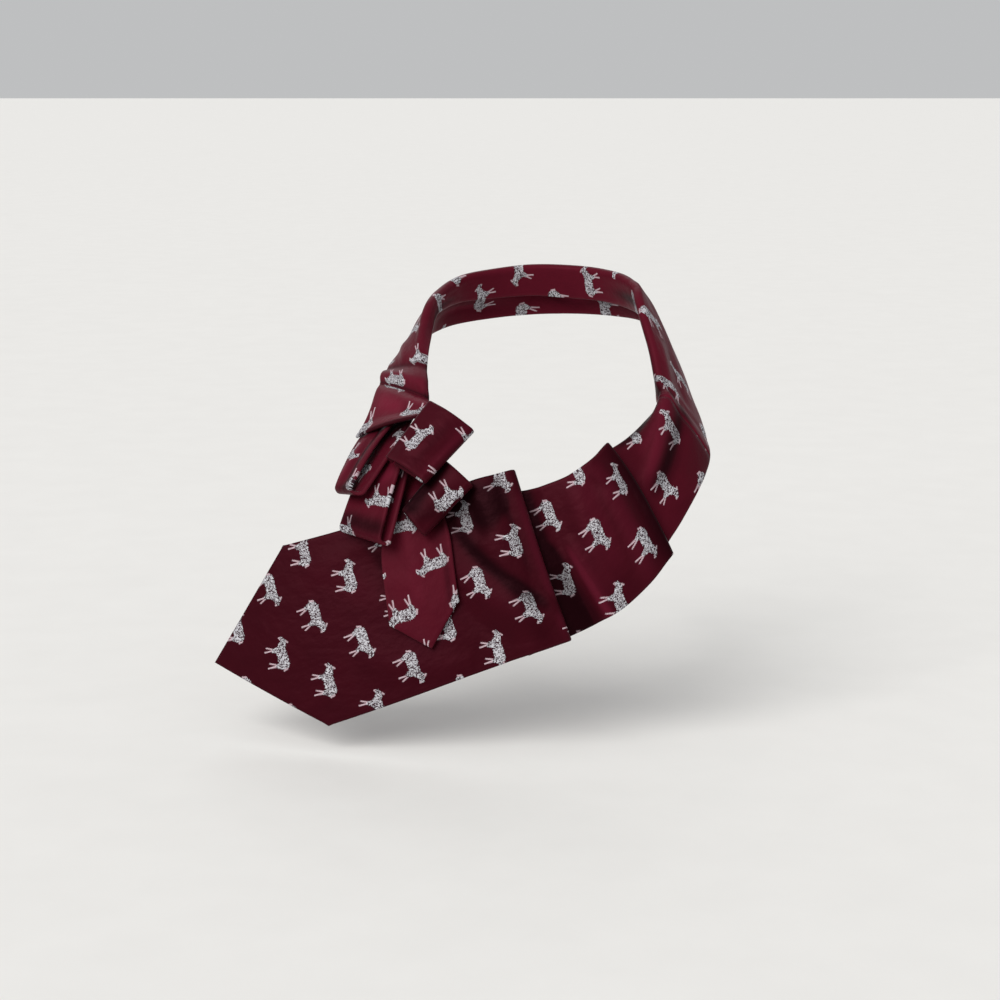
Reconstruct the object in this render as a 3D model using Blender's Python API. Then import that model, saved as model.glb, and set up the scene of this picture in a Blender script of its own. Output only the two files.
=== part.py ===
"""
Silk cravat: one necktie, pleated and wrapped round the neck as a collar, its narrow end folded
into four loops.  The tie is followed from its wide pointed end to its narrow one, and each stretch
of it that shows is one closed wall of cloth.

Frame: +Z up, the wearer faces -Y, and +X is the wearer's left.  The origin is the middle of the
neck opening.  Sizes are millimetres, turned into metres when a mesh is made.  A "lift" is the
distance from the figure to the middle of the wall.
"""
import math
from collections import namedtuple

import bpy
from mathutils import Vector

MM = 0.001
WALL = 2.2                       # silk, interlining and silk
RIM = 0.4 * WALL                 # roundness of an edge
SEAM = 0.7                       # between two pieces that meet, where the tie runs straight
FOLD_RADIUS = 1.7                # of a pressed fold, to the middle of the wall
LAYER = 2 * FOLD_RADIUS          # from one layer of a pleat to the next
CREASE_LENGTH = math.pi * FOLD_RADIUS
PRESSED_GAP = WALL + 0.5         # between the middles of two layers pressed together
BURGUNDY = (0.095, 0.008, 0.02, 1.0)
BRIGHT_BURGUNDY = (0.15, 0.01, 0.025, 1.0)

# The general figure: an upper chest that leans back towards the neck and round to the shoulders.
NECKLINE_Z = -80.0
NECKLINE_DEPTH = 78.0
CHEST_SLOPE = 0.42
CHEST_EASE = 0.0006
CHEST_ROUND = 0.0014
SHOULDER_ROUND = 0.0031
SHOULDER_FROM_Z = -100.0
SHOULDER_RISE = 45.0

PLEAT_1_DEPTH = 20.0
PLEAT_2_DEPTH = 18.0
ROW_STEP = 7.5                   # between two rows of a wall's mesh, along the tie

Panel = namedtuple("Panel", "along top_x top_z low_x low_z top_lift middle_lift low_lift bow")
BLADE = (
    Panel(0, -137, -117.5, -111, -207, 1.6, 1.6, 1.6, 0),
    Panel(45, -99, -105.5, -69, -190, 1.8, 1.8, 1.8, 0),
    Panel(84, -64, -93, -33, -176, 2.0, 2.0, 2.0, 0),
    Panel(98, -51, -88, -20.5, -171.5, 2.8, 3.0, 2.8, 0),
    Panel(108, -42, -85, -12, -168.5, 5.6, 5.8, 5.6, 0),
    Panel(117, -34, -82, -4, -166, 8.3, 8.3, 8.2, 0),
    Panel(140, -13, -75.5, 16, -159.5, 8.3, 8.3, 8.3, -1),
)
Tip = namedtuple("Tip", "along x z spread")      # x and z are from the middle of the line there
BLADE_TIP = Tip(0, -51, -19.5, 50)

MIDDLE_FRONT = (                 # what shows; its hidden start lies under the blade
    Panel(22, -8, -84.5, 18, -156.5, 1.5, 1.5, 1.5, 0),
    Panel(38, 7, -81, 33, -150, 2.6, 3.0, 1.8, 0),
    Panel(52, 19, -77, 47, -142.5, 6.2, 7.2, 4.6, 0),
    Panel(63, 28, -71.5, 58, -133, 8.1, 8.4, 8.1, 1),
    Panel(80, 36.5, -63.5, 71, -118.5, 8.3, 8.3, 8.3, 2.5),
)

Collar = namedtuple("Collar", "along ridge_x ridge_y ridge_z edge_x edge_y edge_z stand turn")
SHOULDER_FRONT = (               # here the y columns hold lifts
    Collar(20, 38, 1.5, -69, 70, 1.5, -112, 3, 15),
    Collar(34, 52, 2.0, -61, 79, 1.7, -99.5, 3, 30),
    Collar(48, 62, 2.8, -51.5, 88.5, 1.9, -86, 4, 70),
    Collar(62, 71, 3.8, -40, 96, 2.1, -73, 6, 115),
)
SIDES_AND_NAPE = (
    Collar(78, 70.5, -27, -28, 94.5, -20, -57, 8, 150),
    Collar(94, 68, -16, -14, 90, -7, -45, 10, 166),
    Collar(112, 64, -3, 1, 85, 4, -31, 12, 170),
    Collar(130, 61.5, 9, 12, 80, 15, -20, 14, 170),
    Collar(145, 60.5, 21, 17.5, 74, 27, -11, 15, 170),
    Collar(162, 54, 37, 21, 65, 43, -6, 16, 170),
    Collar(182, 41, 53, 23, 50, 60, -5, 16, 170),
    Collar(206, 21, 64, 24, 25, 73, -5, 16, 170),
    Collar(228, 0, 67, 24, 0, 77, -6, 15, 170),
    Collar(250, -22, 63, 22, -25, 73, -8, 14, 170),
    Collar(274, -43, 50, 19, -49, 61, -11, 12, 168),
    Collar(294, -54, 33, 14, -62, 46, -15, 9, 162),
    Collar(312, -60.5, 15, 8, -69.5, 33, -18, 6, 150),
    Collar(330, -64, 1, -3, -75, 20, -21, 4, 120),
    Collar(346, -65, -12, -12, -79, 11, -24.5, 3, 80),
    Collar(360, -64.5, -24, -21, -82.5, 1, -28, 3, 45),
    Collar(374, -62.5, -35.5, -29, -85, -8, -30, 3, 25),
    Collar(386, -61.5, -45, -37, -86.8, -17, -34.3, 3, 15),
)
SHOULDER_END = 62
TUCK = 386                       # where the neck band ends and the band's end goes on
BAND_END = (                     # goes on where the neck band ends, at a tuck
    Collar(386, -61.5, -45, -37, -86.8, -17, -34.3, 3, 15),
    Collar(400, -60.5, -55.5, -41, -90, -30.5, -46, 3, 15),
    Collar(414, -63, -64, -44.5, -98, -45.5, -59.5, 3, 15),
)

TAIL = (
    Panel(0, -73, -79, -54, -74, 1.8, 3.2, 6.0, 0),
    Panel(18, -78, -98, -51, -91, 4.5, 5.2, 7.0, 0),
    Panel(42, -81, -118, -46, -108, 5.0, 5.4, 6.2, 0),
    Panel(62, -79, -136, -43.5, -124, 5.2, 5.6, 6.0, 0),
    Panel(81, -76.5, -153.5, -41, -140, 5.2, 5.4, 6.0, 0),
)
TAIL_TIP = Tip(81, 4, -17, 26)

Loop = namedtuple("Loop", "name far_root near_root far_end near_end far_gap near_gap belly fan end_fan closed")
LOOPS = (                        # corners as x, z and lift
    Loop("loop_left_upper", (-89, -56.5, 3.6), (-71, -50, 6.6), (-105.5, -92, 11.5), (-96.5, -94, 18.5),
         3.6, 5.0, 2.0, 13.0, 6.0, False),
    Loop("loop_left_lower", (-89, -73, 4.6), (-66, -72, 14), (-102.5, -106.5, 10.5), (-80, -113, 18.5),
         3.6, 5.0, 1.5, 5.0, 3.0, False),
    Loop("loop_right_upper", (-50, -44, 19.8), (-73, -80, 24.8), (-30, -57, 18), (-55, -87, 24.3),
         4.6, 4.6, 2.5, 0.0, 0.0, True),
    Loop("loop_right_lower", (-46, -74, 15), (-68, -97.5, 15.5), (-33, -84.5, 16), (-57, -108, 16),
         4.4, 4.4, 1.5, 0.0, 0.0, True),
)


def mix(first, second, share):
    return first + (second - first) * share


def smooth_step(value):
    value = min(max(value, 0.0), 1.0)
    return value * value * (3.0 - 2.0 * value)


def figure_point(x, z):
    """The front of the general figure."""
    drop = NECKLINE_Z - z
    depth = NECKLINE_DEPTH + CHEST_SLOPE * drop - CHEST_EASE * drop * drop
    shoulder = smooth_step((z - SHOULDER_FROM_Z) / SHOULDER_RISE)
    return Vector((x, -depth + (CHEST_ROUND + SHOULDER_ROUND * shoulder) * x * x, z))


def on_figure(x, z, lift):
    """A point over the figure, at right angles to it."""
    step = 0.5
    across = figure_point(x + step, z) - figure_point(x - step, z)
    up = figure_point(x, z + step) - figure_point(x, z - step)
    return figure_point(x, z) + across.cross(up).normalized() * lift


def read(table, along):
    """The table's row at any place along the tie: every column is a smooth curve."""
    last = len(table) - 1
    index = 0
    while index < last - 1 and table[index + 1].along < along:
        index += 1
    span = table[index + 1].along - table[index].along
    share = (along - table[index].along) / span

    def slope(at, column):
        before = max(at - 1, 0)
        after = min(at + 1, last)
        left = table[at].along - table[before].along
        right = table[after].along - table[at].along
        rise_left = (table[at][column] - table[before][column]) / left if left else None
        rise_right = (table[after][column] - table[at][column]) / right if right else None
        if rise_left is None:
            return rise_right
        if rise_right is None:
            return rise_left
        return (rise_left * right + rise_right * left) / (left + right)

    values = []
    for column in range(len(table[0])):
        start = table[index][column]
        end = table[index + 1][column]
        cubic = share * share * (3 - 2 * share)
        start_pull = share * (1 - share) ** 2 * span * slope(index, column)
        end_pull = share * share * (share - 1) * span * slope(index + 1, column)
        values.append(mix(start, end, cubic) + start_pull + end_pull)
    return type(table[0])(*values)


def steps(start, end, count):
    return [mix(start, end, number / count) for number in range(count + 1)]


def panel_point(table, along, across, drop=0.0, tip=(0, 0)):
    """
    A point of a panel that lies on the figure: across is -1 at its upper edge and 1 at its lower
    one, drop lowers it towards the figure, and tip draws the line across out to a point.
    """
    row = read(table, along)
    share = (across + 1) / 2
    middle_bend = row.middle_lift - (row.top_lift + row.low_lift) / 2
    lift = mix(row.top_lift, row.low_lift, share) + middle_bend * (1 - across * across)
    x = mix(row.top_x, row.low_x, share) + row.bow * (1 - across * across)
    z = mix(row.top_z, row.low_z, share)
    point_share = 1 - abs(across)
    return on_figure(x + tip[0] * point_share, z + tip[1] * point_share, lift - drop)


def panel_heading(table, along, across):
    """The direction of the tie there, towards growing along."""
    step = 1.0
    ahead = panel_point(table, along, across)
    behind = panel_point(table, along - step, across)
    return (ahead - behind).normalized()


def half_turn(table, along, acrosses, top_drop, forward):
    """Rows round a pressed fold, from the layer at top_drop to the next one below it."""
    rows = []
    parts = 8
    for number in range(1, parts):
        angle = math.pi * number / parts
        drop = top_drop + FOLD_RADIUS * (1 - math.cos(angle))
        reach = forward * FOLD_RADIUS * math.sin(angle)
        row = []
        for across in acrosses:
            heading = panel_heading(table, along, across)
            row.append(panel_point(table, along, across, drop) + heading * reach)
        rows.append(row)
    return rows


def wall(name, rows, colour, seams=(), before=None, after=None):
    """
    A closed wall round a grid of points in its middle.  Its edges are rounded, but for a "start" or
    an "end" row in seams, which is cut square where the next piece goes on.  Before and after are
    the rows of the pieces it meets, so that both have one direction at the seam.
    """
    count = len(rows)
    width = len(rows[0])

    def normal(i, j):
        behind = rows[i - 1] if i else before or rows[0]
        ahead = rows[i + 1] if i < count - 1 else after or rows[i]
        across = rows[i][min(j + 1, width - 1)] - rows[i][max(j - 1, 0)]
        return (ahead[j] - behind[j]).cross(across).normalized()

    outer = [[rows[i][j] + normal(i, j) * (WALL / 2) for j in range(width)] for i in range(count)]
    inner = [[rows[i][j] - normal(i, j) * (WALL / 2) for j in range(width)] for i in range(count)]
    border = [(i, 0) for i in range(count)]
    border += [(count - 1, j) for j in range(1, width)]
    border += [(i, width - 1) for i in range(count - 2, -1, -1)]
    border += [(0, j) for j in range(width - 2, 0, -1)]

    points = [point for row in outer for point in row]
    points += [point for row in inner for point in row]
    rim_start = len(points)
    for i, j in border:
        inward_i = min(max(i, 1), count - 2)
        inward_j = min(max(j, 1), width - 2)
        along = rows[i][j] - rows[inward_i][j]
        across = rows[i][j] - rows[i][inward_j]
        push = Vector((0, 0, 0))
        if (i == 0 and "start" in seams) or (i == count - 1 and "end" in seams):
            along = Vector((0, 0, 0))
        for part in (along, across):
            if part.length > 0:
                push += part.normalized()
        points.append(rows[i][j] + push.normalized() * RIM)

    def outer_at(i, j):
        return i * width + j

    def inner_at(i, j):
        return count * width + i * width + j

    faces = []
    for i in range(count - 1):
        for j in range(width - 1):
            corners = ((i, j), (i + 1, j), (i + 1, j + 1), (i, j + 1))
            faces.append([outer_at(*corner) for corner in corners])
            faces.append([inner_at(*corner) for corner in reversed(corners)])
    for number, start in enumerate(border):
        following = (number + 1) % len(border)
        end = border[following]
        rim_a = rim_start + number
        rim_b = rim_start + following
        faces.append([outer_at(*end), outer_at(*start), rim_a, rim_b])
        faces.append([rim_b, rim_a, inner_at(*start), inner_at(*end)])

    mesh = bpy.data.meshes.new(name)
    mesh.from_pydata([point * MM for point in points], [], faces)
    mesh.validate()
    mesh.shade_smooth()
    mesh.set_sharp_from_angle(angle=math.radians(50))
    silk = bpy.data.materials.new(name + "_silk")
    silk.use_nodes = True
    shader = silk.node_tree.nodes["Principled BSDF"]
    shader.inputs["Base Color"].default_value = colour
    shader.inputs["Roughness"].default_value = 0.38
    shader.inputs["Metallic"].default_value = 0.0
    mesh.materials.append(silk)
    piece = bpy.data.objects.new(name, mesh)
    bpy.context.scene.collection.objects.link(piece)
    return piece


def panel_rows(table, start, end, acrosses, drop=0.0, tip=None):
    """Rows of a panel; a Tip draws the ones near it out to a point."""
    count = max(2, round(abs(end - start) / ROW_STEP))
    rows = []
    for along in steps(start, end, count):
        reach = (0, 0)
        if tip:
            fade = max(0.0, 1 - abs(along - tip.along) / tip.spread)
            reach = (tip.x * fade, tip.z * fade)
        rows.append([panel_point(table, along, across, drop, reach) for across in acrosses])
    return rows


def make_blade():
    """From the point to the first pleat, over its fold and back under."""
    acrosses = steps(-1, 1, 12)
    fold = BLADE[-1].along
    rows = panel_rows(BLADE, 0, fold, acrosses, tip=BLADE_TIP)
    rows += half_turn(BLADE, fold, acrosses, 0, 1)
    rows += panel_rows(BLADE, fold, fold - PLEAT_1_DEPTH, acrosses, LAYER)
    return wall("blade", rows, BURGUNDY, ("end",))


def middle_table():
    under = read(BLADE, BLADE[-1].along - PLEAT_1_DEPTH - SEAM)
    return (under._replace(along=0, top_lift=1.5, middle_lift=1.5, low_lift=1.5),) + MIDDLE_FRONT


def make_middle_panel(table):
    """From the hidden bend of pleat 1 to the second pleat, over its fold and back under."""
    acrosses = steps(-1, 1, 10)
    fold = table[-1].along
    rows = [[panel_point(table, 0, across, -LAYER) for across in acrosses]]
    rows += half_turn(table, 0, acrosses, -LAYER, -1)
    rows += panel_rows(table, 0, fold, acrosses)
    rows += half_turn(table, fold, acrosses, 0, 1)
    rows += panel_rows(table, fold, fold - PLEAT_2_DEPTH, acrosses, LAYER)
    return wall("middle_panel", rows, BURGUNDY, ("start", "end"))


def collar_section(row, heading, wall_parts, crease_parts, stand_parts):
    """
    Across the folded tie: the fall from its lower edge up to the ridge, the crease over the ridge,
    and the stand inside it.  The crease has one length, and a sharper turn gives it less radius.
    """
    ridge = Vector((row.ridge_x, row.ridge_y, row.ridge_z))
    edge = Vector((row.edge_x, row.edge_y, row.edge_z))
    turn = math.radians(row.turn)
    radius = CREASE_LENGTH / turn
    up = (ridge - edge).normalized()
    inward = up.cross(heading).normalized()
    start = ridge - up * radius * math.sin(min(turn, math.pi / 2))
    fall_length = (start - edge).length
    belly = 0.035 * fall_length
    points = []
    for share in steps(0, 1, wall_parts):
        bulge = belly * 4 * share * (1 - share)
        points.append(edge.lerp(start, share) - inward * bulge)
    for share in steps(0, 1, crease_parts)[1:]:
        angle = turn * share
        points.append(start + up * radius * math.sin(angle) + inward * radius * (1 - math.cos(angle)))
    stand_direction = up * math.cos(turn) + inward * math.sin(turn)
    crease_end = points[-1]
    for share in steps(0, 1, stand_parts)[1:]:
        points.append(crease_end + stand_direction * row.stand * share)
    return points


def collar_table(middle):
    """Sections from the hidden bend of pleat 2 to the loops."""
    under = read(middle, middle[-1].along - PLEAT_2_DEPTH - SEAM)
    top_share = 0.05
    front = [Collar(0, mix(under.top_x, under.low_x, top_share), 1.5,
                    mix(under.top_z, under.low_z, top_share), under.low_x, 1.5, under.low_z, 3, 15)]
    sections = []
    for row in front + list(SHOULDER_FRONT):
        ridge = on_figure(row.ridge_x, row.ridge_z, row.ridge_y)
        edge = on_figure(row.edge_x, row.edge_z, row.edge_y)
        sections.append(Collar(row.along, *ridge, *edge, row.stand, row.turn))
    return tuple(sections) + SIDES_AND_NAPE + BAND_END[1:]


def collar_row(table, along):
    """The tie's section at one place along the table."""
    step = 2.0
    ahead = read(table, min(along + step, table[-1].along))
    behind = read(table, max(along - step, table[0].along))
    heading = Vector(ahead[1:4]) + Vector(ahead[4:7]) - Vector(behind[1:4]) - Vector(behind[4:7])
    return collar_section(read(table, along), heading.normalized(), 8, 6, 2)


def collar_rows(table, start, end):
    count = max(2, round((end - start) / ROW_STEP))
    return [collar_row(table, along) for along in steps(start, end, count)]


def make_shoulder_panel(table):
    end = SHOULDER_END - SEAM / 2
    rows = collar_rows(table, 0, end)
    after = collar_row(table, end + ROW_STEP)
    return wall("shoulder_panel", rows, BURGUNDY, ("start", "end"), after=after)


def make_neck_band(table):
    start = SHOULDER_END + SEAM / 2
    rows = collar_rows(table, start, TUCK - SEAM / 2)
    before = collar_row(table, start - ROW_STEP)
    after = collar_row(table, TUCK + ROW_STEP)
    return wall("neck_band", rows, BURGUNDY, ("start", "end"), before=before, after=after)


def make_band_end(table):
    start = TUCK + SEAM / 2
    rows = collar_rows(table, start, table[-1].along)
    before = collar_row(table, start - ROW_STEP)
    return wall("band_end", rows, BRIGHT_BURGUNDY, ("start",), before=before)


def loop_profile(length, gap, belly, closed):
    """
    A loop of cloth seen from its side, as distances along it and below its upper layer: the lower
    layer, the bend at its end and the upper layer.  A closed loop also turns under at its root, and
    the layers of an open one are pressed together there.
    """
    radius = gap / 2
    profile = []
    start = radius + 2 * RIM + SEAM if closed else 0
    root_gap = gap if closed else PRESSED_GAP
    for share in steps(0, 1, 5):
        profile.append((mix(start, length - radius, share), mix(root_gap, gap, share)))
    for angle in steps(0, math.pi, 6)[1:-1]:
        profile.append((length - radius + radius * math.sin(angle), radius + radius * math.cos(angle)))
    for share in steps(1, 0, 6):
        along = mix(radius if closed else 0, length - radius, share)
        profile.append((along, -belly * math.sin(math.pi * share)))
    if closed:
        for angle in steps(0, math.pi, 6)[1:]:
            profile.append((radius - radius * math.sin(angle), radius - radius * math.cos(angle)))
    return profile


def make_loop(loop):
    """The lower layer fans out by one width at the root and by another at the bend."""
    far_root = on_figure(*loop.far_root)
    near_root = on_figure(*loop.near_root)
    far_end = on_figure(*loop.far_end)
    near_end = on_figure(*loop.near_end)
    sideways = near_root - far_root + near_end - far_end
    aside = sideways.normalized()
    columns = []
    for across in steps(0, 1, 6):
        root = far_root.lerp(near_root, across)
        forward = far_end.lerp(near_end, across) - root
        below = forward.cross(sideways).normalized()
        if below.y < 0:
            below = -below
        gap = mix(loop.far_gap, loop.near_gap, across)
        length = forward.length
        forward = forward.normalized()
        column = []
        for along, depth in loop_profile(length, gap, loop.belly, loop.closed):
            lower = min(max(depth / gap, 0.0), 1.0)
            fan = mix(loop.fan, loop.end_fan, along / length) * lower * across
            column.append(root + forward * along + below * depth + aside * fan)
        columns.append(column)
    rows = [list(row) for row in zip(*columns)]
    return wall(loop.name, rows, BRIGHT_BURGUNDY)


def make_tail():
    acrosses = steps(-1, 1, 6)
    end = TAIL[-1].along
    rows = panel_rows(TAIL, 0, end, acrosses, tip=TAIL_TIP)
    return wall("tail", rows, BRIGHT_BURGUNDY)


def main():
    for item in list(bpy.data.objects):
        bpy.data.objects.remove(item)
    middle = middle_table()
    collar = collar_table(middle)
    make_blade()
    make_middle_panel(middle)
    make_shoulder_panel(collar)
    make_neck_band(collar)
    make_band_end(collar)
    for loop in LOOPS:
        make_loop(loop)
    make_tail()


main()
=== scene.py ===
"""
The looks of the silk cravat: each stretch of the tie is a fine wall of cloth on the form of its
solid, with its creases, in one woven silk with small sheep.

Sizes are millimetres, turned into metres when a mesh is made.  "Along" runs from the wide end of
the tie to its narrow one.  "Across" is measured from the middle of the tie towards its lower edge.
A "lift" is the distance from the figure to the middle of the wall.
"""
import math
from collections import namedtuple

import bpy
import numpy as np
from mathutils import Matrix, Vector


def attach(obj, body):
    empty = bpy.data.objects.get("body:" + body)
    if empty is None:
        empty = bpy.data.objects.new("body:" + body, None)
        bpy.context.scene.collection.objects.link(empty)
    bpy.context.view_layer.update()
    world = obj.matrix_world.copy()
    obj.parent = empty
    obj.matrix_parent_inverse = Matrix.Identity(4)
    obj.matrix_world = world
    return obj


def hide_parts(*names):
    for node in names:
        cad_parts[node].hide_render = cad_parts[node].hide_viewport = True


MM = 0.001
WALL = 2.0
RIM = 0.5 * WALL
RIM_PARTS = 4                    # round an edge of the wall
STEP = 1.5                       # between two rows of the mesh, along the tie
BLADE_PARTS = 66                 # across a piece
PANEL_PARTS = 56
NARROW_PARTS = 26
FALL_PARTS = 30                  # across the folded collar
RIDGE_PARTS = 8
STAND_PARTS = 8
LOOP_PARTS = 24                  # along each layer of a loop
FOLD_RADIUS = 1.7
FOLD_PARTS = 10
LAYER = 2 * FOLD_RADIUS          # from a pleat's front layer to the one beneath
RIDGE_LENGTH = math.pi * FOLD_RADIUS
PRESSED_GAP = 2.7                # between the middles of two layers pressed together
HIDDEN_LIFT = 1.5                # of the cloth that lies on the figure under a pleat
FALL_BELLY = 0.035               # how far the collar's fall bulges, to its width
JOINT = 0.05                     # from the seam of two collar pieces to the end of each

# The figure's front: how deep it stands at the neckline, and how it slopes and rounds.
NECKLINE_Z = -80.0
NECKLINE_DEPTH = 78.0
CHEST_SLOPE = 0.42
CHEST_EASE = 0.0006
CHEST_ROUND = 0.0014
SHOULDER_ROUND = 0.0031
SHOULDER_FROM_Z = -100.0
SHOULDER_RISE = 45.0

PLEAT_1_DEPTH = 20.0             # how far a pleat turns under
PLEAT_2_DEPTH = 18.0
SEAM = 0.7                       # between two ends of cloth

Panel = namedtuple("Panel", "along top_x top_z low_x low_z top_lift middle_lift low_lift bow")
BLADE = (
    Panel(0, -137, -117.5, -111, -207, 1.6, 1.6, 1.6, 0),
    Panel(45, -99, -105.5, -69, -190, 1.8, 1.8, 1.8, 0),
    Panel(84, -64, -93, -33, -176, 2.0, 2.0, 2.0, 0),
    Panel(98, -51, -88, -20.5, -171.5, 2.8, 3.0, 2.8, 0),
    Panel(108, -42, -85, -12, -168.5, 5.6, 5.8, 5.6, 0),
    Panel(117, -34, -82, -4, -166, 8.3, 8.3, 8.2, 0),
    Panel(140, -13, -75.5, 16, -159.5, 8.3, 8.3, 8.3, -1),
)
Tip = namedtuple("Tip", "along x z spread")
BLADE_TIP = Tip(0, -51, -19.5, 50)
MIDDLE_FRONT = (
    Panel(22, -8, -84.5, 18, -156.5, 1.5, 1.5, 1.5, 0),
    Panel(38, 7, -81, 33, -150, 2.6, 3.0, 1.8, 0),
    Panel(52, 19, -77, 47, -142.5, 6.2, 7.2, 4.6, 0),
    Panel(63, 28, -71.5, 58, -133, 8.1, 8.4, 8.1, 1),
    Panel(80, 36.5, -63.5, 71, -118.5, 8.3, 8.3, 8.3, 2.5),
)
Collar = namedtuple("Collar", "along ridge_x ridge_y ridge_z edge_x edge_y edge_z stand turn")
SHOULDER_FRONT = (               # here the y columns hold lifts
    Collar(20, 38, 1.5, -69, 70, 1.5, -112, 3, 15),
    Collar(34, 52, 2.0, -61, 79, 1.7, -99.5, 3, 30),
    Collar(48, 62, 2.8, -51.5, 88.5, 1.9, -86, 4, 70),
    Collar(62, 71, 3.8, -40, 96, 2.1, -73, 6, 115),
)
SIDES_AND_NAPE = (
    Collar(78, 70.5, -27, -28, 94.5, -20, -57, 8, 150),
    Collar(94, 68, -16, -14, 90, -7, -45, 10, 166),
    Collar(112, 64, -3, 1, 85, 4, -31, 12, 170),
    Collar(130, 61.5, 9, 12, 80, 15, -20, 14, 170),
    Collar(145, 60.5, 21, 17.5, 74, 27, -11, 15, 170),
    Collar(162, 54, 37, 21, 65, 43, -6, 16, 170),
    Collar(182, 41, 53, 23, 50, 60, -5, 16, 170),
    Collar(206, 21, 64, 24, 25, 73, -5, 16, 170),
    Collar(228, 0, 67, 24, 0, 77, -6, 15, 170),
    Collar(250, -22, 63, 22, -25, 73, -8, 14, 170),
    Collar(274, -43, 50, 19, -49, 61, -11, 12, 168),
    Collar(294, -54, 33, 14, -62, 46, -15, 9, 162),
    Collar(312, -60.5, 15, 8, -69.5, 33, -18, 6, 150),
    Collar(330, -64, 1, -3, -75, 20, -21, 4, 120),
    Collar(346, -65, -12, -12, -79, 11, -24.5, 3, 80),
    Collar(360, -64.5, -24, -21, -82.5, 1, -28, 3, 45),
    Collar(374, -62.5, -35.5, -29, -85, -8, -30, 3, 25),
    Collar(386, -61.5, -45, -37, -86.8, -17, -34.3, 3, 15),
)
SHOULDER_END = 62
TUCK = 386
BAND_END = (
    Collar(386, -61.5, -45, -37, -86.8, -17, -34.3, 3, 15),
    Collar(400, -60.5, -55.5, -41, -90, -30.5, -46, 3, 15),
    Collar(414, -63, -64, -44.5, -98, -45.5, -59.5, 3, 15),
)
TAIL = (
    Panel(0, -73, -79, -54, -74, 1.8, 3.2, 6.0, 0),
    Panel(18, -78, -98, -51, -91, 4.5, 5.2, 7.0, 0),
    Panel(42, -81, -118, -46, -108, 5.0, 5.4, 6.2, 0),
    Panel(62, -79, -136, -43.5, -124, 5.2, 5.6, 6.0, 0),
    Panel(81, -76.5, -153.5, -41, -140, 5.2, 5.4, 6.0, 0),
)
TAIL_TIP = Tip(81, 4, -17, 26)
Loop = namedtuple("Loop", "name far_root near_root far_end near_end "
                          "far_gap near_gap belly fan end_fan closed")
LOOPS = (                        # corners as x, z and lift
    Loop("loop_left_upper", (-89, -56.5, 3.6), (-71, -50, 6.6), (-105.5, -92, 11.5), (-96.5, -94, 18.5),
         3.6, 5.0, 2.0, 15.5, 6.0, False),
    Loop("loop_left_lower", (-89, -73, 4.6), (-66, -72, 14), (-102.5, -106.5, 10.5), (-80, -113, 18.5),
         3.6, 5.0, 1.5, 5.0, 3.0, False),
    Loop("loop_right_upper", (-50, -44, 19.8), (-73, -80, 24.8), (-30, -57, 18), (-55, -87, 24.3),
         4.6, 4.6, 2.5, 0.0, 0.0, True),
    Loop("loop_right_lower", (-46, -74, 15), (-68, -97.5, 15.5), (-33, -84.5, 16), (-57, -108, 16),
         4.4, 4.4, 1.5, 0.0, 0.0, True),
)

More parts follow.
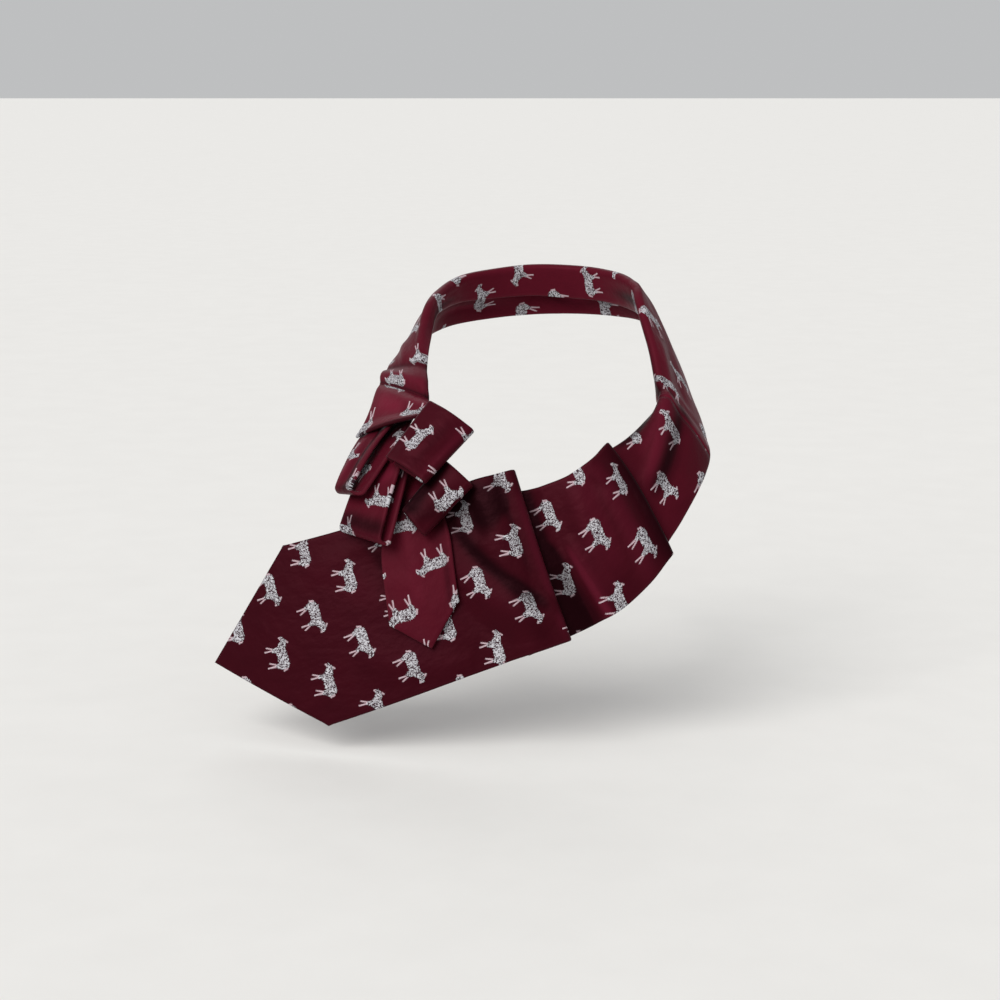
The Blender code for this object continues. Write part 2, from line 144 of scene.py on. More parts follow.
# A crease is a soft trough (below nought) or ridge along a line on the cloth, bent by its bow.
Crease = namedtuple("Crease", "along across to_along to_across height width bow")
CREASES = {
    "blade": (
        Crease(127, -48, 129, 44, -0.4, 3.5, 0),
        Crease(134, -48, 134, 46, 0.7, 4.0, 0),
        Crease(106, -44, 110, -18, -1.8, 6.5, 0),
        Crease(96, -30, 127, 18, -0.9, 5.0, 5),
        Crease(90, -12, 126, 34, 1.1, 7.0, 4),
        Crease(60, -46, 92, 40, 0.3, 8.0, 5),
        Crease(84, 8, 112, 44, -0.6, 5.0, 2),
        Crease(30, 20, 78, 42, 0.9, 9.0, 3),
        Crease(38, -40, 62, 16, -0.6, 7.0, -4),
        Crease(14, -30, 56, -38, 0.8, 8.0, -2),
    ),
    "middle_panel": (
        Crease(40, -46, 38, 0, -0.8, 4.0, 1),
        Crease(35, 8, 45, 46, -2.6, 5.5, 0),
        Crease(45, -4, 52, 44, 1.6, 3.2, 0),
        Crease(61, -42, 57, 30, 1.4, 8.0, 2),
        Crease(73, -34, 77, 36, 2.0, 7.0, -2),
        Crease(87, -30, 89, 34, -0.9, 4.0, 0),
        Crease(55, -40, 77, -20, -0.7, 4.0, 2),
    ),
    "shoulder_panel": (
        Crease(78, 16, 30, 2, 2.2, 5.5, -2),
        Crease(76, 4, 30, -10, -1.3, 5.0, 2),
        Crease(62, -24, 34, -16, 0.8, 4.0, 2),
    ),
    "neck_band": (
        Crease(3.35, 16, -44.65, 2, 2.2, 5.5, -2),
        Crease(1.35, 4, -44.65, -10, -1.3, 5.0, 2),
        Crease(332.5, -34, 332.5, 34, -1.5, 3.0, 0),
        Crease(325, -20, 325, 24, 1.1, 5.0, 1),
        Crease(315, -20, 311, 22, -1.3, 4.5, 1),
        Crease(280, -18, 306, 0, 0.9, 4.0, 3),
        Crease(262, 4, 302, 12, -0.9, 4.0, -2),
        Crease(10, -24, 8, 24, -1.0, 3.5, 0),
        Crease(14, 6, 48, 4, 1.0, 4.0, 2),
        Crease(18, -6, 60, -10, -0.9, 5.0, 3),
        Crease(70, -14, 110, -4, 0.8, 5.0, 3),
        Crease(96, 2, 132, -12, -1.0, 4.5, -2),
        Crease(104, -20, 150, -12, 1.3, 4.0, 4),
        Crease(146, -19, 182, -1, 1.6, 5.0, -2),
        Crease(160, -22, 173, -14, -0.9, 3.5, 0),
        Crease(184, -15, 216, -8, -1.1, 4.5, 3),
        Crease(190, -21, 236, -16, 1.2, 3.5, 3),
        Crease(222, -4, 262, -14, 1.3, 4.5, 2),
        Crease(244, -22, 258, -10, -0.8, 3.5, -1),
    ),
    "band_end": (
        Crease(0, -34, 0, 34, -1.5, 3.0, 0),
        Crease(10, -22, 11, 22, 1.1, 5.5, 1),
        Crease(22, -24, 21, 20, -0.8, 4.0, 2),
    ),
    "loop_left_upper": (
        Crease(60, -6, 98, -3, 0.8, 3.0, 1),
        Crease(62, 0, 102, 4, -0.8, 2.6, -1),
        Crease(64, 5, 98, 9, 0.5, 2.0, 0),
    ),
    "loop_left_lower": (
        Crease(58, -4, 96, 2, 0.7, 5.0, 2),
        Crease(60, 8, 92, 12, -0.5, 3.0, 0),
    ),
    "loop_right_upper": (
        Crease(30, -10, 48, 12, 0.5, 5.0, 2),
        Crease(28, 6, 44, 14, -0.4, 3.0, 0),
    ),
    "loop_right_lower": (
        Crease(18, -12, 30, 12, -0.4, 4.0, 1),
    ),
    "tail": (
        Crease(14, -22, 13, 2, 0.3, 6.0, 0),
        Crease(16, -10, 60, -2, 0.9, 6.0, 2),
        Crease(20, 12, 56, 14, -0.7, 5.0, 2),
        Crease(58, -14, 84, 6, 0.5, 5.0, 2),
    ),
}

# The rows and columns of these walls run so that their normals point to the figure.
NORMALS_INWARD = ("blade", "middle_panel", "loop_left_upper", "loop_left_lower")

# A shade is a soft dark (below nought) or light line painted into the satin's colour: painted shade and
# shadow where the satin turns from the light or lies under another piece, painted highlight where it turns
# to the light.
Shade = namedtuple("Shade", "along across to_along to_across amount width bow")
SHADES = {
    "blade": (
        Shade(98, -50, 123, -27, -1.4, 13, 0),
        Shade(97, -28, 134, 28, -1.0, 4.5, 4),
        Shade(136, -34, 136, 48, 0.6, 3.5, 0),
        Shade(127, -48, 129, 6, -0.6, 2.5, 0),
        Shade(50, -40, 64, 16, -0.6, 5, 0),
        Shade(118, 10, 124, 46, -0.3, 6, 0),
        Shade(10, -34, 46, -10, 0.25, 10, 0),
    ),
    "middle_panel": (
        Shade(29, -50, 29, 46, -1.2, 5, 0),
        Shade(31, -4, 38, 46, -1.6, 6.0, 0),
        Shade(43, -2, 52, 44, 0.95, 2.4, 0),
        Shade(64, -44, 62, 20, 0.45, 9, 0),
        Shade(93, -34, 95, 44, -0.8, 9, 0),
    ),
    "shoulder_panel": (
        Shade(36, 16, 70, 14, 0.4, 5, 0),
        Shade(30, -4, 76, 5, -0.85, 5.5, 0),
        Shade(28, 28, 76, 19, -0.9, 3.5, 0),
    ),
    "neck_band": (
        Shade(-44.65, -4, 1.35, 5, -0.85, 5.5, 0),
        Shade(-4, 19, 110, 18, -1.0, 4, 0),
        Shade(240, 20, 330, 20, -0.7, 2.5, 0),
        Shade(313, -24, 310, 22, -0.5, 3.5, 0),
        Shade(332, -30, 332, 30, -0.7, 1.6, 0),
        Shade(2, -6, 12, 14, -0.6, 3, 0),
        Shade(100, -15, 146, -6, -0.35, 4, 3),
        Shade(150, -12, 186, 4, -0.4, 3.5, -2),
        Shade(196, -18, 240, -11, -0.35, 3, 3),
    ),
    "band_end": (
        Shade(0, -30, 0, 30, -0.5, 1.4, 0),
        Shade(10, -16, 16, 4, 0.4, 7, 0),
        Shade(28, -26, 28, 26, -1.0, 2.4, 0),
    ),
    "loop_left_upper": (
        Shade(106, -14, 106, 14, -1.2, 8, 0),
        Shade(2, -14, 2, 16, -1.3, 14, 0),
        Shade(60, -6, 98, -4, 0.4, 2.5, 1),
        Shade(60, 2, 100, 6, -0.8, 2.2, 0),
        Shade(57, -12, 57, 12, -0.5, 4, 0),
    ),
    "loop_left_lower": (
        Shade(105, -16, 105, 16, -1.1, 6, 0),
        Shade(2, -16, 2, 18, -1.3, 14, 0),
        Shade(60, -16, 60, 16, -0.8, 6.5, 0),
        Shade(86, 2, 94, 12, 0.5, 6, 0),
    ),
    "loop_right_upper": (
        Shade(28.5, -18, 28.5, 20, 0.4, 3, 0),
        Shade(36, -14, 36, 16, -0.35, 3, 0),
    ),
    "loop_right_lower": (
        Shade(34, -18, 34, 18, -1.1, 5, 0),
        Shade(17, 0, 28, 16, -0.5, 6, 0),
    ),
    "tail": (
        Shade(16, -18, 36, 18, -1.0, 8, 0),
        Shade(50, 16, 82, 15, -0.5, 2.5, 0),
        Shade(50, 0, 78, -4, 0.25, 6, 0),
    ),
}
AMOUNT = 4                       # the column of a crease's height and of a shade's amount
LINE_OVERRUN = 0.2               # how far a crease or shade fades on past its ends
LINE_FADE = 0.62

# Painted sheen and shade: the same silk is scaled deeper or brighter in each stretch, standing in for how
# its threads lie to the light.
SHEEN_AND_SHADE_TONES = {
    "blade": 0.36, "middle_panel": 0.44, "shoulder_panel": 0.64, "neck_band": 1.0, "band_end": 1.1,
    "loop_left_upper": 0.9, "loop_left_lower": 0.85, "loop_right_upper": 0.5, "loop_right_lower": 0.42,
    "tail": 0.8,
}

Lattice = namedtuple("Lattice", "along across feet head along_drift across_drift")
# Where one sheep stands on the cloth; its feet point to the start (1) or the end (-1) of the piece,
# and its head to growing across (1) or away from it (-1).
LATTICES = {
    "blade": Lattice(6.7, -8.4, 1, 1, 0, 0),
    "middle_panel": Lattice(36.4, -23.5, 1, 1, 0, 0),
    "shoulder_panel": Lattice(35.1, -8.4, 1, -1, 0, 0),
    "neck_band": Lattice(303, 15, 1, -1, -0.028, -0.026),
    "band_end": Lattice(18.5, 13.5, 1, 1, 0, 0),
    "tail": Lattice(54.5, 8.5, 1, -1, 0, 0),
    "loop_left_upper": Lattice(84, -10, -1, 1, 0, 0),
    "loop_left_lower": Lattice(77.5, 8, -1, -1, 0, 0),
    "loop_right_upper": Lattice(46.5, 2, -1, -1, 0, 0),
    "loop_right_lower": Lattice(23, -4, -1, -1, 0, 0),
}
ROW = (21.6, 21.2)               # from one sheep to the next that faces the same way
COLUMN = (24.6, -14.9)           # to the next that faces the other way

# What a stretch's cut holds, as the tie is made up, in metres and square metres; no stretch is given one
# here.
Cut = namedtuple("Cut", "width length area held")

# The camera and the floor, in metres.
AIM = Vector((-0.019, -0.081, -0.088))
DISTANCE = 1.15
DOWN = math.radians(12)
SENSOR_WIDTH = 36                # in millimetres, as is the focal length
FOCAL_LENGTH = 76.67
FLOOR_Z = -0.222                 # a little below the blade's lowest corner
FLOOR_REACH = 15.0
FLOOR_COLOURS = ((0.78, 0.77, 0.75, 1), (0.82, 0.81, 0.79, 1))
FLOOR_GRAIN = 30.0
WORLD_COLOUR = (0.86, 0.87, 0.88, 1)
WORLD_STRENGTH = 0.6
Sun = namedtuple("Sun", "name direction strength angle colour")
SUNS = (
    Sun("key", (0.46, 0.62, -0.66), 2.15, 42, (1.0, 0.985, 0.96)),
    Sun("back", (0.1, -0.75, -0.65), 0.35, 40, (1.0, 1.0, 1.0)),
)


def mix(first, second, share):
    return first + (second - first) * share


def arch(share):
    """0 at both ends and 1 in the middle."""
    return 4 * share * (1 - share)


def smooth_step(value):
    value = min(max(value, 0.0), 1.0)
    return value * value * (3.0 - 2.0 * value)


def figure_point(x, z):
    """The front of the general figure."""
    drop = NECKLINE_Z - z
    depth = NECKLINE_DEPTH + CHEST_SLOPE * drop - CHEST_EASE * drop * drop
    shoulder = smooth_step((z - SHOULDER_FROM_Z) / SHOULDER_RISE)
    return Vector((x, -depth + (CHEST_ROUND + SHOULDER_ROUND * shoulder) * x * x, z))


def on_figure(x, z, lift):
    """A point over the figure, at right angles to it."""
    step = 0.5                   # either side, to find which way the figure faces
    across = figure_point(x + step, z) - figure_point(x - step, z)
    up = figure_point(x, z + step) - figure_point(x, z - step)
    return figure_point(x, z) + across.cross(up).normalized() * lift


def read(table, along):
    """The table's row at any place along the tie: every column is a smooth curve."""
    last = len(table) - 1
    index = 0
    while index < last - 1 and table[index + 1].along < along:
        index += 1
    span = table[index + 1].along - table[index].along
    share = (along - table[index].along) / span

    def slope(at, column):
        before = max(at - 1, 0)
        after = min(at + 1, last)
        left = table[at].along - table[before].along
        right = table[after].along - table[at].along
        rise_left = (table[at][column] - table[before][column]) / left if left else None
        rise_right = (table[after][column] - table[at][column]) / right if right else None
        if rise_left is None:
            return rise_right
        if rise_right is None:
            return rise_left
        return (rise_left * right + rise_right * left) / (left + right)

    values = []
    for column in range(len(table[0])):
        start = table[index][column]
        end = table[index + 1][column]
        cubic = share * share * (3 - 2 * share)
        start_pull = share * (1 - share) ** 2 * span * slope(index, column)
        end_pull = share * share * (share - 1) * span * slope(index + 1, column)
        values.append(mix(start, end, cubic) + start_pull + end_pull)
    return type(table[0])(*values)


def steps(start, end, count):
    """Even steps from start to end, both included."""
    return [mix(start, end, number / count) for number in range(count + 1)]


def panel_point(table, along, across, drop=0.0, tip=(0, 0)):
    """A point of a panel on the figure: across is -1 at its upper edge and 1 at its lower one."""
    row = read(table, along)
    share = (across + 1) / 2
    middle_bend = row.middle_lift - (row.top_lift + row.low_lift) / 2
    lift = mix(row.top_lift, row.low_lift, share) + middle_bend * (1 - across * across)
    x = mix(row.top_x, row.low_x, share) + row.bow * (1 - across * across)
    z = mix(row.top_z, row.low_z, share)
    point_share = 1 - abs(across)
    return on_figure(x + tip[0] * point_share, z + tip[1] * point_share, lift - drop)


def half_turn(table, along, acrosses, top_drop, forward):
    """Rows round a pressed fold, from the layer at top_drop to the next one below it."""
    step = 1.0                   # back along the panel, to find which way it runs
    rows = []
    for number in range(1, FOLD_PARTS):
        angle = math.pi * number / FOLD_PARTS
        drop = top_drop + FOLD_RADIUS * (1 - math.cos(angle))
        reach = forward * FOLD_RADIUS * math.sin(angle)
        row = []
        for across in acrosses:
            ahead = panel_point(table, along, across)
            behind = panel_point(table, along - step, across)
            row.append(panel_point(table, along, across, drop) + (ahead - behind).normalized() * reach)
        rows.append(row)
    return rows


def tip_fade(tip, along):
    """1 at a pointed end, and 0 from where the tie has its full width."""
    return max(0.0, 1 - abs(along - tip.along) / tip.spread)


def tip_reach(tip, end, count, acrosses):
    """How far past the plain end of the tie each point of a pointed end is drawn out."""
    fades = [tip_fade(tip, along) for along in steps(0, end, count - 1)]
    return math.hypot(tip.x, tip.z) * np.outer(fades, 1 - np.abs(acrosses))


def panel_rows(table, start, end, acrosses, drop=0.0, tip=None):
    count = max(2, round(abs(end - start) / STEP))
    rows = []
    for along in steps(start, end, count):
        reach = (0, 0)
        if tip:
            fade = tip_fade(tip, along)
            reach = (tip.x * fade, tip.z * fade)
        rows.append([panel_point(table, along, across, drop, reach) for across in acrosses])
    return rows


def middle_table():
    """The middle panel starts where the blade's hidden layer ends, and comes out from under it."""
    under = read(BLADE, BLADE[-1].along - PLEAT_1_DEPTH - SEAM)
    start = under._replace(along=0, top_lift=HIDDEN_LIFT, middle_lift=HIDDEN_LIFT, low_lift=HIDDEN_LIFT)
    return (start,) + MIDDLE_FRONT


def ridge_of(row):
    return Vector((row.ridge_x, row.ridge_y, row.ridge_z))


def edge_of(row):
    return Vector((row.edge_x, row.edge_y, row.edge_z))


def collar_section(row, heading):
    """Across the folded tie: the fall up to the ridge, the bend over it and the stand inside."""
    ridge = ridge_of(row)
    edge = edge_of(row)
    turn = math.radians(row.turn)
    radius = RIDGE_LENGTH / turn
    up = (ridge - edge).normalized()
    inward = up.cross(heading).normalized()
    start = ridge - up * radius * math.sin(min(turn, math.pi / 2))
    fall_length = (start - edge).length
    belly = FALL_BELLY * fall_length
    points = []
    for share in steps(0, 1, FALL_PARTS):
        points.append(edge.lerp(start, share) - inward * (belly * arch(share)))
    for share in steps(0, 1, RIDGE_PARTS)[1:]:
        angle = turn * share
        points.append(start + up * radius * math.sin(angle) + inward * radius * (1 - math.cos(angle)))
    stand_direction = up * math.cos(turn) + inward * math.sin(turn)
    bend_end = points[-1]
    for share in steps(0, 1, STAND_PARTS)[1:]:
        points.append(bend_end + stand_direction * row.stand * share)
    return points


def collar_table(middle):
    """The collar starts where the middle panel's hidden layer ends, its ridge just inside the top."""
    under = read(middle, middle[-1].along - PLEAT_2_DEPTH - SEAM)
    top_share = 0.05
    first = SHOULDER_FRONT[0]
    front = Collar(0, mix(under.top_x, under.low_x, top_share), HIDDEN_LIFT,
                   mix(under.top_z, under.low_z, top_share),
                   under.low_x, HIDDEN_LIFT, under.low_z, first.stand, first.turn)
    sections = []
    for row in (front,) + SHOULDER_FRONT:
        ridge = on_figure(row.ridge_x, row.ridge_z, row.ridge_y)
        edge = on_figure(row.edge_x, row.edge_z, row.edge_y)
        sections.append(Collar(row.along, *ridge, *edge, row.stand, row.turn))
    return tuple(sections) + SIDES_AND_NAPE + BAND_END[1:]


def collar_row(table, along):
    step = 2.0                   # either side, to find which way the tie runs
    ahead = read(table, min(along + step, table[-1].along))
    behind = read(table, max(along - step, table[0].along))
    heading = ridge_of(ahead) + edge_of(ahead) - ridge_of(behind) - edge_of(behind)
    return collar_section(read(table, along), heading.normalized())


def collar_rows(table, start, end):
    count = max(2, round((end - start) / STEP))
    return [collar_row(table, along) for along in steps(start, end, count)]


def loop_profile(length, gap, belly, closed):
    """
    A loop from its side: the lower layer, the bend at its end and the upper layer, as distances
    along it and below its upper layer.
    """
    radius = gap / 2
    profile = []
    start = radius + 2 * RIM + SEAM if closed else 0
    root_gap = gap if closed else PRESSED_GAP
    for share in steps(0, 1, LOOP_PARTS):
        profile.append((mix(start, length - radius, share), mix(root_gap, gap, share)))
    for angle in steps(0, math.pi, FOLD_PARTS)[1:-1]:
        profile.append((length - radius + radius * math.sin(angle), radius + radius * math.cos(angle)))
    for share in steps(1, 0, LOOP_PARTS):
        along = mix(radius if closed else 0, length - radius, share)
        profile.append((along, -belly * math.sin(math.pi * share)))
    if closed:
        for angle in steps(0, math.pi, FOLD_PARTS)[1:]:
            profile.append((radius - radius * math.sin(angle), radius - radius * math.cos(angle)))
    return profile


def loop_rows(loop):
    """The lower layer fans out by one width at the root and by another at the bend."""
    far_root = on_figure(*loop.far_root)
    near_root = on_figure(*loop.near_root)
    far_end = on_figure(*loop.far_end)
    near_end = on_figure(*loop.near_end)
    sideways = near_root - far_root + near_end - far_end
    aside = sideways.normalized()
    columns = []
    for across in steps(0, 1, NARROW_PARTS):
        root = far_root.lerp(near_root, across)
        forward = far_end.lerp(near_end, across) - root
        below = forward.cross(sideways).normalized()
        if below.y < 0:
            below = -below
        gap = mix(loop.far_gap, loop.near_gap, across)
        length = forward.length
        forward = forward.normalized()
        column = []
        for along, depth in loop_profile(length, gap, loop.belly, loop.closed):
            lower = min(max(depth / gap, 0.0), 1.0)
            fan = mix(loop.fan, loop.end_fan, along / length) * lower * across
            column.append(root + forward * along + below * depth + aside * fan)
        columns.append(column)
    return [list(row) for row in zip(*columns)]


# ---- a wall of cloth from its rows

TINY = 1e-9


def unit(vectors):
    """Vectors of length 1, and a vector of no length as it is."""
    return vectors / np.maximum(np.linalg.norm(vectors, axis=-1, keepdims=True), TINY)


def normals_of(grid, before=None, after=None):
    """The cloth's normals, with the rows before and after it where it goes on past a seam."""
    ahead = np.concatenate((grid[1:], (grid[-1:] if after is None else after[None])))
    behind = np.concatenate(((grid[:1] if before is None else before[None]), grid[:-1]))
    right = np.concatenate((grid[:, 1:], grid[:, -1:]), axis=1)
    left = np.concatenate((grid[:, :1], grid[:, :-1]), axis=1)
    return unit(np.cross(ahead - behind, right - left))


def lengths_on(grid):
    """How far along and across the cloth each point is, in millimetres."""
    middle = grid.shape[1] // 2
    along_steps = np.linalg.norm(np.diff(grid[:, middle], axis=0), axis=1)
    along = np.concatenate(([0.0], np.cumsum(along_steps)))
    across_steps = np.linalg.norm(np.diff(grid, axis=1), axis=2)
    across = np.concatenate((np.zeros((len(grid), 1)), np.cumsum(across_steps, axis=1)), axis=1)
    across -= across[:, -1:] / 2
    return np.repeat(along[:, None], grid.shape[1], axis=1), across


def lines_on(lines, along, across):
    """The sum of soft lines, creases or shades, at each place on the cloth."""
    total = np.zeros_like(along)
    for line in lines:
        run = np.array((line.to_along - line.along, line.to_across - line.across), float)
        length = np.linalg.norm(run)
        run /= length
        from_start = (along - line.along) * run[0] + (across - line.across) * run[1]
        share = np.clip(from_start / length, -LINE_OVERRUN, 1 + LINE_OVERRUN)
        aside = (across - line.across) * run[0] - (along - line.along) * run[1]
        aside -= line.bow * arch(share)
        fade = np.clip(1 - ((share - 0.5) / LINE_FADE) ** 4, 0, 1)
        total += line[AMOUNT] * fade * np.exp(-(aside / line.width) ** 2)
    return total


def lattice_places(lattice, along, across):
    """Which sheep is nearest, as steps of the two lattice vectors."""
    away = along - lattice.along
    up = lattice.feet * away * (1 + lattice.along_drift)
    forward = lattice.head * (across - lattice.across + away * lattice.across_drift)
    turned = np.linalg.inv(np.array((ROW, COLUMN)).T)
    first = turned[0, 0] * up + turned[0, 1] * forward
    second = turned[1, 0] * up + turned[1, 1] * forward
    return first, second


def row_array(row):
    return np.array([tuple(point) for point in row])


def border_of(count, width):
    """The places round a grid, in order."""
    border = [(i, 0) for i in range(count)]
    border += [(count - 1, j) for j in range(1, width)]
    border += [(i, width - 1) for i in range(count - 2, -1, -1)]
    border += [(0, j) for j in range(width - 2, 0, -1)]
    return border


def rim_points(grid, normals, border, seams):
    """Rings of points round the wall's edge, half round but flat where it meets the next piece."""
    count, width = grid.shape[:2]
    points = []
    for part in range(1, RIM_PARTS):
        angle = math.pi * part / RIM_PARTS
        for i, j in border:
            away_along = grid[i, j] - grid[min(max(i, 1), count - 2), j]
            away_across = grid[i, j] - grid[i, min(max(j, 1), width - 2)]
            if (i == 0 and "start" in seams) or (i == count - 1 and "end" in seams):
                away_along = np.zeros(3)
            push = unit(unit(away_along) + unit(away_across))
            points.append(grid[i, j] + normals[i, j] * (WALL / 2) * math.cos(angle)
                          + push * RIM * math.sin(angle))
    return np.array(points)


def wall_faces(count, width, border):
    """Faces on the outer grid, on the inner one and round the rim between them."""
    size = count * width
    faces = []
    for i in range(count - 1):
        for j in range(width - 1):
            corner = i * width + j
            faces.append((corner, corner + width, corner + width + 1, corner + 1))
            corner += size
            faces.append((corner, corner + 1, corner + width + 1, corner + width))
    outer_ring = [i * width + j for i, j in border]
    rings = [outer_ring]
    for part in range(RIM_PARTS - 1):
        first = 2 * size + part * len(border)
        rings.append(list(range(first, first + len(border))))
    rings.append([size + corner for corner in outer_ring])
    for upper, lower in zip(rings, rings[1:]):
        for number in range(len(border)):
            following = (number + 1) % len(border)
            faces.append((upper[following], upper[number], lower[number], lower[following]))
    return faces


def on_wall(values, border):
    """Values of the grid for every point of the wall: outer, inner and then the rim's rings."""
    ring = [values[i, j] for i, j in border]
    return np.concatenate((values.ravel(), values.ravel(), ring * (RIM_PARTS - 1)))


def store(mesh, name, *columns):
    attribute = mesh.attributes.new(name, "FLOAT_VECTOR", "POINT")
    attribute.data.foreach_set("vector", np.stack(columns, axis=1).astype(np.float32).ravel())


def make_wall(name, rows, plain_rows=None, reach=None, seams=(), before=None, after=None):
    """
    A closed wall of cloth round the rows of points.  Places on the cloth are measured on plain_rows,
    where a pointed end isn't drawn out, and reach says how far it is.  The row before and the row
    after belong to the next pieces, so that normals agree across a seam.
    """
    grid = np.array([row_array(row) for row in rows])
    plain = grid if plain_rows is None else np.array([row_array(row) for row in plain_rows])
    along, across = lengths_on(plain)
    if reach is not None:
        along = along - reach
    before = None if before is None else row_array(before)
    after = None if after is None else row_array(after)
    normals = normals_of(grid, before, after)
    height = lines_on(CREASES[name], along, across)
    shade = lines_on(SHADES[name], along, across)
    lift = -height if name in NORMALS_INWARD else height
    grid = grid + normals * lift[..., None]
    if before is not None:
        before = before + normals[0] * lift[1][:, None]
    if after is not None:
        after = after + normals[-1] * lift[-2][:, None]
    normals = normals_of(grid, before, after)

    count, width = grid.shape[:2]
    border = border_of(count, width)
    rim = rim_points(grid, normals, border, seams)
    outer = (grid + normals * (WALL / 2)).reshape(-1, 3)
    inner = (grid - normals * (WALL / 2)).reshape(-1, 3)
    points = np.concatenate((outer, inner, rim))
    mesh = bpy.data.meshes.new(name + "_cloth")
    mesh.from_pydata((points * MM).tolist(), [], wall_faces(count, width, border))
    mesh.validate()
    mesh.shade_smooth()

    all_along = on_wall(along, border)
    all_across = on_wall(across, border)
    edge = np.abs(across[:, -1:]) - np.abs(across)
    edge = np.minimum(edge, np.minimum(along - along.min(), along.max() - along))
    all_edge = np.concatenate((edge.ravel(), edge.ravel(), np.zeros(len(rim))))
    first, second = lattice_places(LATTICES[name], all_along, all_across)
    store(mesh, "sheep_place", first, second, np.zeros_like(first))
    # Crease heights, the painted shade and highlight lines, and the stretch's painted sheen and shade
    # tone, for the silk's colour.
    store(mesh, "folds_and_painted_light", on_wall(height, border), on_wall(shade, border), np.full_like(first, SHEEN_AND_SHADE_TONES[name]))
    store(mesh, "cloth_place", all_along, all_across, all_edge)
    piece = bpy.data.objects.new(name + "_silk", mesh)
    bpy.context.scene.collection.objects.link(piece)
    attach(piece, "root")
    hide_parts(name)
    return piece


# ---- the pieces

def make_blade():
    acrosses = steps(-1, 1, BLADE_PARTS)
    fold = BLADE[-1].along
    folded = half_turn(BLADE, fold, acrosses, 0, 1)
    folded += panel_rows(BLADE, fold, fold - PLEAT_1_DEPTH, acrosses, LAYER)
    rows = panel_rows(BLADE, 0, fold, acrosses, tip=BLADE_TIP)
    plain = panel_rows(BLADE, 0, fold, acrosses)
    reach = tip_reach(BLADE_TIP, fold, len(plain), acrosses)
    reach = np.concatenate((reach, np.zeros((len(folded), len(acrosses)))))
    return make_wall("blade", rows + folded, plain + folded, reach, ("end",))


def make_middle_panel(table):
    acrosses = steps(-1, 1, PANEL_PARTS)
    fold = table[-1].along
    rows = [[panel_point(table, 0, across, -LAYER) for across in acrosses]]
    rows += half_turn(table, 0, acrosses, -LAYER, -1)
    rows += panel_rows(table, 0, fold, acrosses)
    rows += half_turn(table, fold, acrosses, 0, 1)
    rows += panel_rows(table, fold, fold - PLEAT_2_DEPTH, acrosses, LAYER)
    return make_wall("middle_panel", rows, seams=("start", "end"))


def make_collar_piece(table, name, start, end, seams):
    rows = collar_rows(table, start, end)
    before = collar_row(table, start - STEP) if start > 0 else None
    after = collar_row(table, end + STEP) if end < table[-1].along else None
    return make_wall(name, rows, seams=seams, before=before, after=after)


def make_tail():
    acrosses = steps(-1, 1, NARROW_PARTS)
    end = TAIL[-1].along
    rows = panel_rows(TAIL, 0, end, acrosses, tip=TAIL_TIP)
    plain = panel_rows(TAIL, 0, end, acrosses)
    return make_wall("tail", rows, plain, -tip_reach(TAIL_TIP, end, len(plain), acrosses))


def make_pieces():
    middle = middle_table()
    collar = collar_table(middle)
    both = ("start", "end")
    yield make_blade()
    yield make_middle_panel(middle)
    yield make_collar_piece(collar, "shoulder_panel", 0, SHOULDER_END - JOINT, both)
    yield make_collar_piece(collar, "neck_band", SHOULDER_END + JOINT, TUCK - JOINT, both)
    yield make_collar_piece(collar, "band_end", TUCK + JOINT, collar[-1].along, ("start",))
    for loop in LOOPS:
        yield make_wall(loop.name, loop_rows(loop))
    yield make_tail()


# ---- the silk

class Tree:
    """Short calls that add linked nodes."""

    def __init__(self, tree):
        self.nodes = tree.nodes
        self.links = tree.links

    def feed(self, socket, value):
        if isinstance(value, bpy.types.NodeSocket):
            self.links.new(value, socket)
        elif value is not None:
            socket.default_value = value

    def math(self, operation, first, second=None, third=None, clamp=False):
        node = self.nodes.new("ShaderNodeMath")
        node.operation = operation
        node.use_clamp = clamp
        for socket, value in zip(node.inputs, (first, second, third)):
            self.feed(socket, value)
        return node.outputs[0]

    def vector(self, operation, first, second=None, scale=None):
        node = self.nodes.new("ShaderNodeVectorMath")
        node.operation = operation
        self.feed(node.inputs[0], first)
        self.feed(node.inputs[1], second)
        if scale is not None:
            self.feed(node.inputs["Scale"], scale)
        return node.outputs["Value"] if operation in ("DOT_PRODUCT", "DISTANCE") else node.outputs[0]

    def split(self, vector):
        node = self.nodes.new("ShaderNodeSeparateXYZ")
        self.feed(node.inputs[0], vector)
        return node.outputs

    def join(self, x, y, z=0.0):
        node = self.nodes.new("ShaderNodeCombineXYZ")
        for socket, value in zip(node.inputs, (x, y, z)):
            self.feed(socket, value)
        return node.outputs[0]

    def attribute(self, name):
        node = self.nodes.new("ShaderNodeAttribute")
        node.attribute_type = "GEOMETRY"
        node.attribute_name = name
        return node.outputs["Vector"]

    def noise(self, vector, scale, detail=2.0, roughness=0.5):
        node = self.nodes.new("ShaderNodeTexNoise")
        self.feed(node.inputs["Vector"], vector)
        node.inputs["Scale"].default_value = scale
        node.inputs["Detail"].default_value = detail
        node.inputs["Roughness"].default_value = roughness
        return node.outputs["Fac"]

    def ramp(self, value, low, high):
        """0 below low and 1 above high."""
        node = self.nodes.new("ShaderNodeMapRange")
        node.interpolation_type = "SMOOTHSTEP"
        self.feed(node.inputs["Value"], value)
        node.inputs["From Min"].default_value = low
        node.inputs["From Max"].default_value = high
        return node.outputs[0]

    def colour(self, share, first, second):
        node = self.nodes.new("ShaderNodeMix")
        node.data_type = "RGBA"
        self.feed(node.inputs["Factor"], share)
        self.feed(node.inputs["A"], first)
        self.feed(node.inputs["B"], second)
        return node.outputs["Result"]


